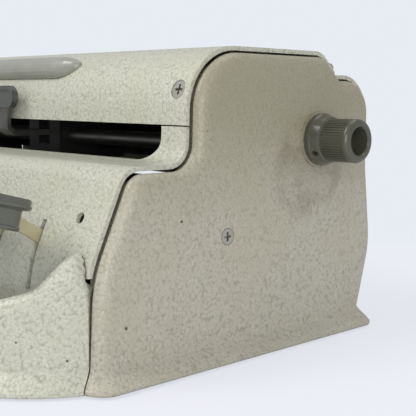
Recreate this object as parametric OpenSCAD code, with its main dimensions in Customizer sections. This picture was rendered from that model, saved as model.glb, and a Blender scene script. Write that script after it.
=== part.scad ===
// Manual braille writer: cast side panels and front apron, screwed-on covers, nine keys on
// sheet levers, six embossing bars, a sliding embossing head and a knob-driven paper roller.
// +X is the machine's right, -Y its front, +Z up. The origin is under the middle of the machine.

/* [Casing] */
// Half of the width over the side panels' feet
half_w = 180; // [176:1:186]
// Wall thickness of the sheet covers
cover_t = 2; // [1.6:0.2:2.4]
// How far the covers stand proud of the side panels' rims
proud = 3; // [2:0.5:3]
// Inset of the side panels' flat face from their rims
shoulder_in = 7; // [5:0.5:8]
// Half-width of the carriage window
window_half = 150; // [140:1:150]

/* [Front apron] */
// Radius of the apron's wall where it sweeps round to the side panels
sweep_r = 63; // [60:1:64]
// Height of the apron in front of the keys
apron_low = 24; // [18:1:30]
// Height of the horns at the apron's two ends
apron_horn = 56; // [50:0.5:58]
// Reach of the foot's flare beyond the walls
flare = 7; // [5:0.5:8]

/* [Keys] */
// Distance between neighbouring dot keys
key_pitch = 28.5; // [28:0.5:29]
// Distance of the backspace and line keys from the middle
end_key_x = 125; // [124:0.5:126]
// Thickness of the key levers
lever_t = 2; // [1.6:0.2:2]
// Radius of the shaft that the levers turn on
key_shaft_r = 4; // [3:0.5:4]

/* [Paper roller] */
// Radius of the paper roller
roller_r = 12; // [11:0.5:12]
// Outer radius of the feed knobs' grip
knob_r = 10.3; // [9:0.1:10.5]
// Radius of the knobs' blind bore
knob_bore_r = 6.6; // [4.5:0.1:7]
// Number of grooves round a knob
knob_flutes = 48; // [30:2:52]

/* [Embossing head] */
// Where the head stands along the rails
head_x = 25; // [0:1:30]
// Radius of the carriage rails
rail_r = 4; // [3:0.5:4]
// Tooth pitch of the spacing rack
rack_pitch = 4.712; // [4.712]

/* [Hidden] */

// Finishes
PAINT = [0.72, 0.71, 0.64];
PAINT_LIGHT = [0.78, 0.78, 0.72];
PLASTIC = [0.42, 0.44, 0.41];
HANDLE_GREY = [0.66, 0.66, 0.62];
STEEL = [0.62, 0.62, 0.60];
ZINC = [0.70, 0.66, 0.52];
BLACKED = [0.16, 0.16, 0.16];
BRASS = [0.72, 0.58, 0.30];
RUBBER = [0.10, 0.10, 0.10];

// Planes across the machine
face_x = half_w - 8;
rim_x = face_x - 5;
cover_x = rim_x - 1;
lip_x = rim_x - 7;
plate_x = half_w - 28;
plate_t = 3;
panel_t = 2.8;
floor_z = 1;
foot_z = 9.5;
arc_steps = 12;

// Side panel rim, from the front foot over the top to the rear foot: [y, z, corner radius]
RIM = [[-69.5, foot_z, 0], [-68, 45, 60], [-49.2, 87, 9], [-14.8, 87, 12], [-13.8, 138.4, 26],
    [72, 138.4, 9], [84.5, 127.2, 4], [107.3, 127.2, 16.5], [107.6, 84, 60],
    [113, 42, 45], [103.7, foot_z, 0]];
// Where the covers part: front cover to RIM leg 3, top cover legs 3 to 5, rear cover from leg 6
seam_z = 106;
ledge_z = RIM[2][1] + proud;

// Centres of shafts and rods seen from the side: [y, z]
ROLLER = [64.6, 98.6];
RAIL_FRONT = [13, 97];
RAIL_REAR = [36, 118];
KEY_PIVOT = [-18, 53];
RELEASE = [90, 100];
PRESSURE = [80.9, 92.5];
RELEASE_TIP = [89.4, 133.6];
SIDE_SCREW = [2.7, 56.8];
roller_shaft_r = 4;
release_shaft_r = 3;
play = 0.05;

// Dot bars
BAR_Y = [26, 30, 34, 38, 42, 46];
bar_t = 2;
bar_low = 60;
bar_high = 70;
bar_half = plate_x - 1.2;

// Keys: levers at these places, dots 3 2 1 left of the space key and 4 5 6 right of it
function dot_x(dot) = dot <= 3 ? -38 - (dot - 1) * key_pitch : 38 + (dot - 4) * key_pitch;

// ---------- helpers ----------

function unit(v) = v / norm(v);
function left_of(v) = [-v[1], v[0]];
function cross2(a, b) = a[0] * b[1] - a[1] * b[0];
function leg(c, i) = unit([c[i + 1][0] - c[i][0], c[i + 1][1] - c[i][1]]);

// A corner list moved outwards by d, with its radii made to match
function shifted(c, d) = [for (i = [0 : len(c) - 1])
    let (a = leg(c, max(i - 1, 0)), b = leg(c, min(i, len(c) - 2)),
        na = left_of(a), nb = left_of(b), m = (na + nb) / (1 + na * nb), turn = sign(cross2(a, b)))
    [c[i][0] + m[0] * d, c[i][1] + m[1] * d, max(c[i][2] - turn * d, 0)]];

// The points of a corner list with each corner rounded by its radius
function rounded(c, steps = arc_steps) = concat([[c[0][0], c[0][1]]],
    [for (i = [1 : len(c) - 2])
        let (a = leg(c, i - 1), b = leg(c, i), turn = sign(cross2(a, b)), bend = acos(min(a * b, 1)),
            p = [c[i][0], c[i][1]], start = p - a * c[i][2] * tan(bend / 2),
            centre = start + left_of(a) * turn * c[i][2], arm = start - centre)
        for (k = [0 : steps])
            let (t = turn * bend * k / steps)
            centre + [arm[0] * cos(t) - arm[1] * sin(t), arm[0] * sin(t) + arm[1] * cos(t)]],
    [[c[len(c) - 1][0], c[len(c) - 1][1]]]);

// A closed outline with every corner rounded by its radius
function loop_corner(c, i, steps) = let (n = len(c), p = [c[i][0], c[i][1]],
    before = c[(i + n - 1) % n], after = c[(i + 1) % n],
    a = unit(p - [before[0], before[1]]), b = unit([after[0], after[1]] - p),
    turn = sign(cross2(a, b)), bend = acos(min(a * b, 1)),
    centre = p - a * c[i][2] * tan(bend / 2) + left_of(a) * turn * c[i][2],
    arm = -left_of(a) * turn * c[i][2])
    [for (k = [0 : steps]) let (t = turn * bend * k / steps)
        centre + [arm[0] * cos(t) - arm[1] * sin(t), arm[0] * sin(t) + arm[1] * cos(t)]];
function looped(c, steps = 4) = [for (i = [0 : len(c) - 1]) each loop_corner(c, i, steps)];
function box_loop(w, h, r, steps = 4, cx = 0, cy = 0) = looped([for (q = [[-1, -1], [1, -1], [1, 1], [-1, 1]])
    [cx + q[0] * w / 2, cy + q[1] * h / 2, r]], steps);

// A closed skin over rings that all have the same number of points; the first and last ring are
// closed by one face, or by the faces in cap where the ring is hollowed
module skin(rings, cap = []) {
    n = len(rings[0]);
    last = len(rings) - 1;
    ends = len(cap) > 0 ? cap : [[for (i = [0 : n - 1]) i]];
    polyhedron(points = [for (ring = rings) for (p = ring) p],
        faces = concat(ends,
            [for (k = [0 : last - 1]) for (i = [0 : n - 1]) let (j = (i + 1) % n)
                [k * n + i, (k + 1) * n + i, (k + 1) * n + j, k * n + j]],
            [for (f = ends) [for (i = [len(f) - 1 : -1 : 0]) last * n + f[i]]]));
}

// Triangles from one corner of a ring to its edges between two others
function fan(corner, from, to) = [for (i = [from : to - 1]) [corner, i, i + 1]];

// Extrudes a [y, z] outline along X from x0 to x1
module along_x(x0, x1) translate([x0, 0, 0]) rotate([90, 0, 90]) linear_extrude(x1 - x0) children();

// A rod along X at [y, z]
module rod(x0, x1, at, r) translate([x0, at[0], at[1]]) rotate([0, 90, 0])
    cylinder(h = x1 - x0, r = r, $fn = 48);

// The rim outline moved outwards by d, closed along z = low
module rim_shape(d, low = foot_z) {
    path = rounded(shifted(RIM, d));
    polygon(concat([[path[0][0], low]], path, [[path[len(path) - 1][0], low]]));
}

module mirrored(left) if (left) mirror([1, 0, 0]) children(); else children();

// A countersunk screw with a cross recess, head up, its head's top at z = 0
module cross_screw(head_r, shank_r, length) difference() {
    rotate_extrude($fn = 48) polygon([[0, 0], [head_r, 0], [head_r, -0.4], [shank_r, -0.4 - head_r + shank_r],
        [shank_r, -length], [0, -length]]);
    for (a = [0, 90]) rotate(a) translate([-head_r * 0.58, -0.55, -1.5]) cube([head_r * 1.16, 1.1, 2]);
}

// ---------- casing ----------

// Flare of the casing's foot: share of its reach, height
FLARE = [[0.95, floor_z], [1, 1.7], [1, 2.8], [0.9, 3.4], [0.84, 4], [0.6, 5.4], [0.3, 7.1], [0.1, 8.4],
    [0, foot_z]];

// Outline of the right side panel's foot seen from above, flared out by e at height z
band_in = 3;
function shoulder_arc(sgn, y_end, e, z) = [for (k = [0 : 9]) let (a = 10 * (sgn < 0 ? k : 9 - k),
    reach = sgn < 0 ? [0.51 + 0.49 * sin(a), -0.71 + 0.27 * sin(a)]
        : [0.6 + 0.4 * sin(a), 0.35 - 0.1 * sin(a)])
    [rim_x + (face_x - rim_x) * sin(a) + reach[0] * e,
        y_end - sgn * shoulder_in * (1 - cos(a)) + reach[1] * e, z]];
function foot_ring(e, z) = concat(shoulder_arc(-1, RIM[0][0], e, z), shoulder_arc(1, RIM[10][0], e, z),
    [[rim_x - 1, RIM[10][0] - 12, z], [rim_x - 1, RIM[0][0] + 12, z]]);

module side_panel_solid() {
    rings = [for (a = [90 : -10 : 0])
        let (x = rim_x + (face_x - rim_x) * sin(a), inset = shoulder_in * (1 - cos(a)),
            path = rounded(shifted(RIM, -inset)), last = len(path) - 1)
        concat([[x, RIM[0][0] + inset, foot_z]], [for (i = [1 : last - 1]) [x, path[i][0], path[i][1]]],
            [[x, RIM[10][0] - inset, foot_z]])];
    corner = len(rings[0]) - 1;
    skin(rings, fan(corner, 0, corner - 1));
    skin([for (f = FLARE) foot_ring((half_w - face_x) * f[0], f[1])]);
    along_x(lip_x, rim_x + 0.5) rim_shape(-band_in, floor_z);
}

module side_panel(left = false) mirrored(left) {
    difference() {
        side_panel_solid();
        along_x(lip_x - 1, face_x - panel_t) rim_shape(-shoulder_in - 2, -20);
        along_x(lip_x - 1, rim_x + 1) rim_shape(-band_in - panel_t, -20);
        rod(face_x - 5, half_w, ROLLER, 6);
        rod(face_x - 5, half_w, SIDE_SCREW, 2.05);
        rod(face_x - 0.5, half_w, SIDE_SCREW, 3.9);
        translate([face_x - 0.45, SIDE_SCREW[0], SIDE_SCREW[1]]) rotate([0, -90, 0])
            cylinder(h = 1.9, r1 = 3.9, r2 = 2.05, $fn = 48);
        cover_screw_holes();
    }
    difference() {
        rod(face_x - 0.5, face_x + 1.2, ROLLER, 13.4);
        rod(face_x - 1, face_x + 2, ROLLER, 11.4);
    }
    // lugs for the cover screws
    difference() {
        at_cover_screws([1]) translate([0, 0, -proud - 8.3]) cylinder(h = 9, r = 3.4, $fn = 48);
        cover_screw_holes();
    }
}
module side_panel_right() color(PAINT) side_panel();
module side_panel_left() color(PAINT) side_panel(true);

// One sheet cover following the rim's corners i0 to i1, from end point a to end point b
module sheet(c) {
    outer = rounded(shifted(c, proud));
    inner = rounded(shifted(c, proud - cover_t));
    polygon(concat(outer, [for (i = [len(inner) - 1 : -1 : 0]) inner[i]]));
}

FRONT_PATH = [[-69.3, 8, 0], RIM[1], RIM[2], RIM[3], [-14.4, seam_z - 0.3, 0]];
TOP_PATH = [[-14.4, seam_z + 0.3, 0], RIM[4], RIM[5], [82.2, 129.3, 0]];
REAR_PATH = [[90.6, 127.2, 0], RIM[7], RIM[8], RIM[9], [104.8, 8, 0]];

module front_cover() color(PAINT_LIGHT) difference() {
    along_x(-cover_x, cover_x) sheet(FRONT_PATH);
    // carriage window, open at the top edge, with round lower corners
    translate([0, 2, 0]) rotate([90, 0, 0]) linear_extrude(27.5) polygon(concat(
        rounded([[-window_half, seam_z + 5, 0], [-window_half, ledge_z + 0.4, 11],
            [window_half, ledge_z + 0.4, 11], [window_half, seam_z + 5, 0]])));
    // slots that the key levers stand in
    for (x = concat([for (d = [1 : 6]) dot_x(d)], [0, end_key_x, -end_key_x]))
        translate([x - lever_t / 2 - 0.5, -90, 36]) cube([lever_t + 1, 40, 29.6]);
    // plain hole at each end of the slope
    for (s = [-1, 1]) translate([s * 148.9, -61.1, 68.6]) rotate([65, 0, 0])
        cylinder(h = 12, r = 2.5, center = true, $fn = 48);
    // clearance for the apron's ends
    for (s = [-1, 1]) translate([s > 0 ? 158 : -cover_x - 1, -80, 0]) cube([cover_x - 157, 20, 46.4]);
}

// Places of the cover screws: on the front shoulder and on the rear shoulder
shoulder_c = [RIM[4][0] + RIM[4][2], RIM[4][1] - RIM[4][2]];
rear_c = [RIM[7][0] - RIM[7][2], RIM[7][1] - RIM[7][2]];
module at_cover_screws(sides = [-1, 1]) {
    for (s = sides) {
        translate([s * 158.9, shoulder_c[0], shoulder_c[1]]) rotate([71, 0, 0])
            translate([0, 0, RIM[4][2] + proud - 0.1]) children();
        translate([s * 158.9, rear_c[0], rear_c[1]]) rotate([-70, 0, 0])
            translate([0, 0, RIM[7][2] + proud - 0.1]) children();
    }
}
module cover_screw_holes() at_cover_screws() {
    translate([0, 0, -12.5]) cylinder(h = 14, r = 1.65, $fn = 32);
    translate([0, 0, -3.05]) cylinder(h = 2.7, r1 = 1.65, r2 = 4.35, $fn = 48);
    translate([0, 0, -0.36]) cylinder(h = 1.2, r = 4.35, $fn = 48);
}

module top_cover() color(PAINT_LIGHT) difference() {
    along_x(-cover_x, cover_x) sheet(TOP_PATH);
    cover_screw_holes();
    // slots that the carrying handle's legs slide in
    for (s = [-1, 1]) translate([s * 59 - 5.6, -11.6, 110]) cube([11.2, 4.2, 40]);
    // notches that the paper release levers swing in
    for (s = [-1, 1]) translate([s * 156.5 - 3.2, 76, 122]) cube([6.4, 16, 24]);
}

module rear_cover() color(PAINT) difference() {
    along_x(-cover_x, cover_x) sheet(REAR_PATH);
    cover_screw_holes();
    // slot that the margin stops stand out of
    translate([-132, 100, 60]) cube([264, 20, 9]);
}

// Apron: height of its top edge, and how far the edge rolls inwards, at a distance x from the middle
horn_x = 163.5;
apron_end_x = rim_x - 0.2;
apron_mid = apron_low + 17;
apron_end = 41.5;
function smooth(t) = let (c = max(0, min(t, 1))) c * c * (3 - 2 * c);
function apron_top(x) = x < 85 ? apron_low
    : x < horn_x ? apron_low + 17 * pow(min((x - 85) / 67, 1), 1.35)
        + (apron_horn - apron_mid) * smooth((x - 151.3) / (horn_x + 0.4 - 151.3))
    : apron_end + (apron_horn - apron_end) * sqrt(max(1 - pow((x - horn_x) / (apron_end_x - horn_x), 2), 0));
function apron_roll(x) = x < 100 ? 3 : x > 162 ? 10.5 : 3 + 7.5 * pow((x - 100) / 62, 4);
function apron_section(x, roll_steps = 5) = let (
    top = apron_top(x), roll = min(apron_roll(x), 3 + (top - apron_low) * 0.25), rise = min(roll + 1, 9))
    concat(
        [for (f = FLARE) [flare * f[0], f[1]]],
        [for (k = [0 : roll_steps]) let (a = 90 * k / roll_steps)
            [-roll * (1 - cos(a)), top - rise + rise * sin(a)]],
        [[-roll, top - 2.6], [-3, max(top - rise - 1.5, top > 46.5 ? 44.3 : 0)], [-3, floor_z]]);
sweep_c = [half_w - 71.4, -46];
apron_end_a = acos((apron_end_x - sweep_c[0]) / sweep_r);
cover_front = [for (p = rounded(shifted(RIM, proud))) if (p[0] < 0 && p[1] < 80)
    [p[1], p[0] - 0.4]];
function apron_station(s, at, out) = [for (p = apron_section(at[0]))
    let (y = at[1] + out[1] * p[0], cut = p[1] > 43.5 ? lookup(p[1], cover_front) : y)
    [s * (at[0] + out[0] * p[0]), min(y, cut), p[1]]];
apron_n = 30;
function apron_side(s) = [for (k = [0 : apron_n]) let (
    share = k / apron_n, a = -90 + (90 - apron_end_a) * (1 - pow(1 - share, 1.5)),
    lean = -90 + 36 * (1 - pow(1 - share, 1.5)))
    apron_station(s, sweep_c + sweep_r * [cos(a), sin(a)], [cos(lean), sin(lean)])];

module front_apron() color(PAINT_LIGHT) {
    right = apron_side(1);
    left = apron_side(-1);
    skin(concat([for (i = [apron_n : -1 : 0]) left[i]], right),
        concat(fan(17, 0, 9), [[17, 9, 16]], fan(16, 9, 15)));
}

module base_pan() color(BLACKED) difference() {
    translate([0, 0, 2.5]) linear_extrude(2.2) polygon(concat(
        [for (a = [0 : 10 : 60]) sweep_c + 58 * [cos(-90 + a), sin(-90 + a)]],
        [[158.5, -60], [158.5, 102], [-158.5, 102], [-158.5, -60]],
        [for (a = [60 : -10 : 0]) [-sweep_c[0] - 58 * sin(a), sweep_c[1] - 58 * cos(a)]]));
    for (x = [-60, 60]) translate([x, 20, 0]) cylinder(h = 8, r = 5, $fn = 48);
}

FEET = [[-142, -50], [142, -50], [-142, 88], [142, 88]];
module rubber_feet() color(RUBBER) for (f = FEET) translate([f[0], f[1], 0])
    rotate_extrude($fn = 48) polygon([[0, 0], [7.5, 0], [8.5, 0.8], [8.5, 2.5], [0, 2.5]]);

module casing_screws() color(STEEL) {
    for (s = [-1, 1]) translate([s * face_x, SIDE_SCREW[0], SIDE_SCREW[1]]) rotate([0, s * 90, 0])
        cross_screw(3.65, 2, 9);
    at_cover_screws() cross_screw(4.1, 1.6, 8);
}

// ---------- frame ----------

module frame_plate(left = false) color(STEEL) mirrored(left) difference() {
    union() {
        along_x(plate_x, plate_x + plate_t) difference() {
            intersection() {
                rim_shape(-6, 4.7);
                translate([-62, 0]) square([162, 131.5]);
            }
            translate([18, 30]) circle(r = 13, $fn = 64);
            translate([-36, 30]) circle(r = 10, $fn = 48);
            translate([66, 36]) circle(r = 19, $fn = 64);
        }
        rod(plate_x + plate_t, face_x - panel_t, SIDE_SCREW, 5);
        rod(plate_x - 3.5, plate_x, ROLLER, 9);
        if (left) rod(plate_x - 9, plate_x, PAWL, 2);
    }
    rod(plate_x - 5, plate_x + 5, ROLLER, roller_shaft_r + play);
    rod(plate_x - 1, plate_x + 5, RAIL_FRONT, rail_r);
    rod(plate_x - 1, plate_x + 5, RAIL_REAR, rail_r);
    rod(plate_x - 1, plate_x + 5, KEY_PIVOT, key_shaft_r);
    rod(plate_x - 1, plate_x + 5, RELEASE, release_shaft_r + play);
    rod(face_x - 10, face_x, SIDE_SCREW, 2);
}
module frame_plate_right() frame_plate();
module frame_plate_left() frame_plate(true);

module carriage_rails() color(STEEL) for (at = [RAIL_FRONT, RAIL_REAR])
    rod(-plate_x - plate_t, plate_x + plate_t, at, rail_r);

module key_shaft() color(STEEL) rod(-plate_x - plate_t, plate_x + plate_t, KEY_PIVOT, key_shaft_r);

// Where each lever's spring coil starts on the shaft, and the side that its anchored leg is on
LEVER_X = concat([for (d = [1 : 6]) dot_x(d)], [0, end_key_x, -end_key_x]);
module key_springs() color(STEEL) for (x = LEVER_X) translate([x + 4.2, KEY_PIVOT[0], KEY_PIVOT[1]]) {
    rotate([0, 90, 0]) rotate_extrude($fn = 40) polygon(concat(
        [[4.6, 0], [4.6, 6]],
        [for (k = [5 : -1 : 0]) each [[5.9, k + 0.75], [5.9, k + 0.25], [5.4, k]]]));
    translate([5.2, 0, -5.2]) rotate([180, 0, 0]) cylinder(h = KEY_PIVOT[1] - 9.9, r = 0.6, $fn = 16);
}

module guide_arc(a0, a1) polygon(concat([for (a = [a0 : 5 : a1]) ROLLER + 13.5 * [cos(a), sin(a)]],
    [for (a = [a1 : -5 : a0]) ROLLER + 14.6 * [cos(a), sin(a)]]));
module paper_guide() color(STEEL) {
    along_x(-142, plate_x) guide_arc(200, 290);
    along_x(-plate_x, -141) guide_arc(250, 290);
}

module margin_rack() color(STEEL) {
    translate([-plate_x, 99, 61.5]) cube([2 * plate_x, 3, 6]);
    for (k = [-20 : 20]) translate([k * 6.2 - 1.2, 102, 62.5]) cube([2.4, 0.8, 4]);
}

module bell() color(BRASS) translate([-52, 40, 4.7]) {
    cylinder(h = 14, r = 2.5, $fn = 32);
    translate([0, 0, 14]) rotate_extrude($fn = 64) difference() {
        intersection() {
            circle(r = 18, $fn = 96);
            square([18, 18]);
        }
        intersection() {
            circle(r = 16.6, $fn = 96);
            translate([0, -1]) square([17, 16.5]);
        }
    }
    for (y = [-6.5, 5]) translate([-28.5, y, 0]) cube([6, 1.5, 6]);
    clapper_rod(12, 1);
}
module clapper_rod(h, r) translate([-25.5, 0, 3.2]) rotate([90, 0, 0])
    cylinder(h = h, r = r, center = true, $fn = 32);
module bell_clapper() color(STEEL) translate([-52, 40, 4.7]) {
    translate([-25.5, 0, 17]) sphere(r = 2.6, $fn = 24);
    translate([-26.3, -1.5, 4.7]) cube([1.6, 3, 11.5]);
    difference() {
        clapper_rod(8, 2);
        clapper_rod(9, 1 + play);
    }
}

// Spacing rack: a toothed bar that the head's spring barrel rolls along
rack_low = 127.5;
rack_t = 3;
barrel_r = 9;
barrel_c = [head_x, 33.5];
rack_pitch_y = barrel_c[1] + barrel_r;
tooth_h = 1.5;
rack_n = 62;
rack_root_y = rack_pitch_y + 1.9;
rack_tip_y = rack_pitch_y - tooth_h + 0.3;
module spacing_rack() color(STEEL) translate([0, 0, rack_low]) linear_extrude(rack_t) polygon(concat(
    [[plate_x, rack_pitch_y + 7], [-plate_x, rack_pitch_y + 7], [-plate_x, rack_root_y]],
    [for (k = [-rack_n / 2 : rack_n / 2 - 1]) let (x = head_x % rack_pitch + (k + 0.5) * rack_pitch)
        each (abs(x) > plate_x - 4 ? [] : [[x - 1.35, rack_root_y], [x - 0.5, rack_tip_y],
            [x + 0.5, rack_tip_y], [x + 1.35, rack_root_y]])],
    [[plate_x, rack_root_y]]));

module dot_bar_guides() color(STEEL) for (s = [-1, 1]) difference() {
    translate([s > 0 ? plate_x - 6 : -plate_x, 22, 54]) cube([6, 28, 26]);
    for (y = BAR_Y) translate([s > 0 ? plate_x - 7 : -plate_x - 0.01, y - bar_t / 2 - 0.15, bar_low - 1])
        cube([7.01, bar_t + 0.3, 30]);
}

// ---------- keys ----------

cap_tilt = 15;
cap_h = 13.7;
cap_foot = [-94.2, 66.35];
lever_low = 49.2;
function in_cap(y, z) = cap_foot
    + [y * cos(cap_tilt) + z * sin(cap_tilt), z * cos(cap_tilt) - y * sin(cap_tilt)];

// Side outline of a lever: cap end, straight neck, hub, and a tail with a nose under its bar
function lever_shape(tail, nose_z) = [in_cap(-8, 2), in_cap(-8, 7), in_cap(8, 7), [-80, 70.9], [-64.5, 61.3],
    [-57, 58.6], [KEY_PIVOT[0] - 6, 58.6], [KEY_PIVOT[0] + 8, 58], [KEY_PIVOT[0] + 16, lever_low],
    [tail - 2, lever_low], [tail - 1, nose_z], [tail + 1, nose_z], [tail + 2, lever_low], [tail + 2, 44],
    [KEY_PIVOT[0] + 10, 44], [KEY_PIVOT[0] - 6, 49], [-58, 51.4], [-66.2, 55.5], [-82, 65.9], in_cap(8, 2)];
module lever(x, tail, nose_z) color(ZINC) difference() {
    union() {
        along_x(x - lever_t / 2, x + lever_t / 2) polygon(lever_shape(tail, nose_z));
        rod(x - 4, x + 4, KEY_PIVOT, 7);
    }
    rod(x - 5, x + 5, KEY_PIVOT, key_shaft_r + play);
}
module lever_dot(d) lever(dot_x(d), BAR_Y[d - 1], bar_low - 0.3);
module lever_dot_1() lever_dot(1);
module lever_dot_2() lever_dot(2);
module lever_dot_3() lever_dot(3);
module lever_dot_4() lever_dot(4);
module lever_dot_5() lever_dot(5);
module lever_dot_6() lever_dot(6);
module lever_space() lever(0, 12, lever_low);
module lever_backspace() lever(end_key_x, 12, lever_low);
module lever_line() lever(-end_key_x, 12, lever_low);

// A moulded key cap, tilted back: body with a lip below and a wider top plate that is hollowed a little
function cap_ring(w, d, r, z) = [for (p = box_loop(w, d, r, 5)) [p[0], p[1], z]];
module keycap(x, w, d, dish_r, shift = 0) color(PLASTIC) difference() {
    translate([x + shift, cap_foot[0], cap_foot[1]]) rotate([-cap_tilt, 0, 0]) difference() {
        skin([
            cap_ring(w - 5.2, d - 5.2, 4, 0), cap_ring(w - 4.2, d - 4.2, 5, 0.6),
            cap_ring(w - 4.2, d - 4.2, 5, 1.6), cap_ring(w - 5, d - 5, 5, 2),
            cap_ring(w - 4.4, d - 4.4, 5, cap_h - 4.6), cap_ring(w - 6, d - 6, 5, cap_h - 3.9),
            cap_ring(w - 5.4, d - 5.4, 5.5, cap_h - 3.2), cap_ring(w, d, 7, cap_h - 2.5),
            cap_ring(w, d, 7, cap_h - 0.9), cap_ring(w - 1.4, d - 1.4, 6.4, cap_h)]);
        translate([0, -30, cap_h + dish_r - 1.2]) rotate([-90, 0, 0]) cylinder(h = 60, r = dish_r, $fn = 96);
    }
    along_x(x - lever_t / 2, x + lever_t / 2) polygon(lever_shape(12, lever_low));
}
module keycap_dot(d) keycap(dot_x(d), 26, 28, 42);
module keycap_dot_1() keycap_dot(1);
module keycap_dot_2() keycap_dot(2);
module keycap_dot_3() keycap_dot(3);
module keycap_dot_4() keycap_dot(4);
module keycap_dot_5() keycap_dot(5);
module keycap_dot_6() keycap_dot(6);
module keycap_space() keycap(0, 44, 28, 110);
module keycap_backspace() keycap(end_key_x, 33, 27, 62, 2.3);
module keycap_line() keycap(-end_key_x, 33, 27, 62, -2.3);

module dot_bar(i) color(STEEL) translate([-bar_half, BAR_Y[i] - bar_t / 2, bar_low])
    cube([2 * bar_half, bar_t, bar_high - bar_low]);
module dot_bar_1() dot_bar(0);
module dot_bar_2() dot_bar(1);
module dot_bar_3() dot_bar(2);
module dot_bar_4() dot_bar(3);
module dot_bar_5() dot_bar(4);
module dot_bar_6() dot_bar(5);

// ---------- embossing head ----------

head_w = 30;
jaw_low = 84;
module head_body() color(BLACKED) difference() {
    union() {
        along_x(head_x - head_w / 2, head_x + head_w / 2) polygon([[4, 87], [22, 87], [22, jaw_low],
            [49, jaw_low], [49, 89], [30, 89], [30, 91.5], [49, 91.5], [49, 101], [30, 104], [30, 109],
            [44, 111], [44, 126], [26, 126], [4, 109]]);
        translate([barrel_c[0], barrel_c[1], 126]) cylinder(h = 10, r = 3, $fn = 48);
    }
    rod(head_x - 20, head_x + 20, RAIL_FRONT, rail_r + play);
    rod(head_x - 20, head_x + 20, RAIL_REAR, rail_r + play);
    // pocket for the carriage lever
    translate([head_x - 5.2, 3, 92]) cube([10.4, 5.5, 14]);
    for (y = BAR_Y) translate([head_x, y, jaw_low - 1]) cylinder(h = 6.5, r = 1, $fn = 24);
    translate([head_x - 6, LEVER_PIVOT[0], LEVER_PIVOT[1]]) rotate([0, 90, 0])
        cylinder(h = 12, r = 1.5, $fn = 32);
}
module head_pins() color(STEEL) {
    for (y = BAR_Y) translate([head_x, y, 80.8]) cylinder(h = 8.6, r = 1, $fn = 24);
}

LEVER_PIVOT = [6, 99];
module carriage_lever() color(STEEL) {
    along_x(head_x - 5, head_x + 5) polygon([[5, 97], [5, 100.4], [-17, 99.6], [-20.2, 102], [-20.2, 121],
        [-22.4, 121], [-22.4, 101], [-18, 97]]);
    rod(head_x - 5, head_x + 5, LEVER_PIVOT, 2.2);
    rod(head_x - 5.8, head_x + 5.8, LEVER_PIVOT, 1.5 - play);
}

// Pad of the carriage lever: a stadium plate with a rounded rim round a sunk face
module stadium(w, h) polygon(box_loop(w, h, h / 2 - 0.2, 8));
module lever_pad() color(PLASTIC) translate([head_x - 3, -22.4, 117.8]) rotate([90, 0, 0]) difference() {
    union() {
        linear_extrude(2.2) stadium(38, 11.8);
        translate([0, 0, 2.2]) linear_extrude(1) stadium(37, 10.8);
    }
    translate([0, 0, 2]) linear_extrude(2) stadium(33.8, 7.8);
}

// Spring barrel: the drive spring's drum with the pinion that rolls along the spacing rack
pinion_n = 12;
module spring_barrel() color(STEEL) translate([barrel_c[0], barrel_c[1], 126.3]) difference() {
    union() {
        translate([0, 0, 0.6]) linear_extrude(4.2) polygon([for (k = [0 : pinion_n - 1])
            let (a = 90 + k * 360 / pinion_n)
            each [for (q = [[-9.5, -1.9], [-4, tooth_h - 0.3], [4, tooth_h - 0.3], [9.5, -1.9]])
                (barrel_r + q[1]) * [cos(a + q[0]), sin(a + q[0])]]]);
        translate([0, 0, 4.8]) cylinder(h = 5, r = 14, $fn = 96);
    }
    translate([0, 0, -1]) cylinder(h = 14, r = 3 + play, $fn = 48);
}

// ---------- paper feed ----------

module paper_roller() color(RUBBER) {
    rod(-142.5, 142.5, ROLLER, roller_r);
    rod(-knob_x - 12, knob_x + 12, ROLLER, roller_shaft_r);
}

knob_x = face_x + 1.6;
// Feed knob: collar with a set-screw hole, grooved grip, rounded rim, deep blind bore
module knob(left = false) color(PLASTIC) mirrored(left)
    translate([knob_x, ROLLER[0], ROLLER[1]]) rotate([0, 90, 0]) difference() {
        rotate_extrude($fn = 96) polygon(concat(
            [[0, 0], [12.3, 0], [12.6, 0.4], [12.6, 2.2], [12.1, 3.2], [11.3, 6], [11, 6.9], [knob_r, 7.3]],
            [[knob_r, 20.4]],
            [for (a = [0 : 15 : 90]) [knob_r - 2 + 2.2 * cos(a), 21.6 + 2 * sin(a)]],
            [[knob_bore_r + 0.4, 23.6], [knob_bore_r, 23], [knob_bore_r, 12], [0, 12]]));
        for (k = [0 : knob_flutes - 1]) rotate(k * 360 / knob_flutes)
            translate([knob_r - 0.5, -0.31, 7.9]) cube([2, 0.62, 12.7]);
        translate([0, 0, -1]) cylinder(h = 14, r = roller_shaft_r, $fn = 48);
        rotate(-57) translate([4, 0, 4.6]) rotate([0, 90, 0]) cylinder(h = 12, r = 1.4, $fn = 32);
    }
module knob_right() knob();
module knob_left() knob(true);

ratchet_n = 24;
ratchet_x = [-147.8, -144];
module line_ratchet() color(STEEL) difference() {
    along_x(ratchet_x[0], ratchet_x[1]) translate(ROLLER) polygon([for (k = [0 : ratchet_n - 1])
        let (a = k * 360 / ratchet_n) each [13 * [cos(a), sin(a)], 11.2 * [cos(a + 2), sin(a + 2)]]]);
    rod(ratchet_x[0] - 1, ratchet_x[1] + 1, ROLLER, roller_shaft_r);
}

PAWL = [38, 90];
module line_pawl() color(STEEL) difference() {
    union() {
        along_x(ratchet_x[0] + 0.3, ratchet_x[1] - 0.3)
            polygon([[36, 86.2], [42, 88], [50.8, 94], [51.5, 96.2], [49, 95.8], [40, 93.4], [36, 93.8]]);
        rod(ratchet_x[0] - 1, ratchet_x[1], PAWL, 4);
    }
    rod(ratchet_x[0] - 3, ratchet_x[1] + 3, PAWL, 2 + play);
}

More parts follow.
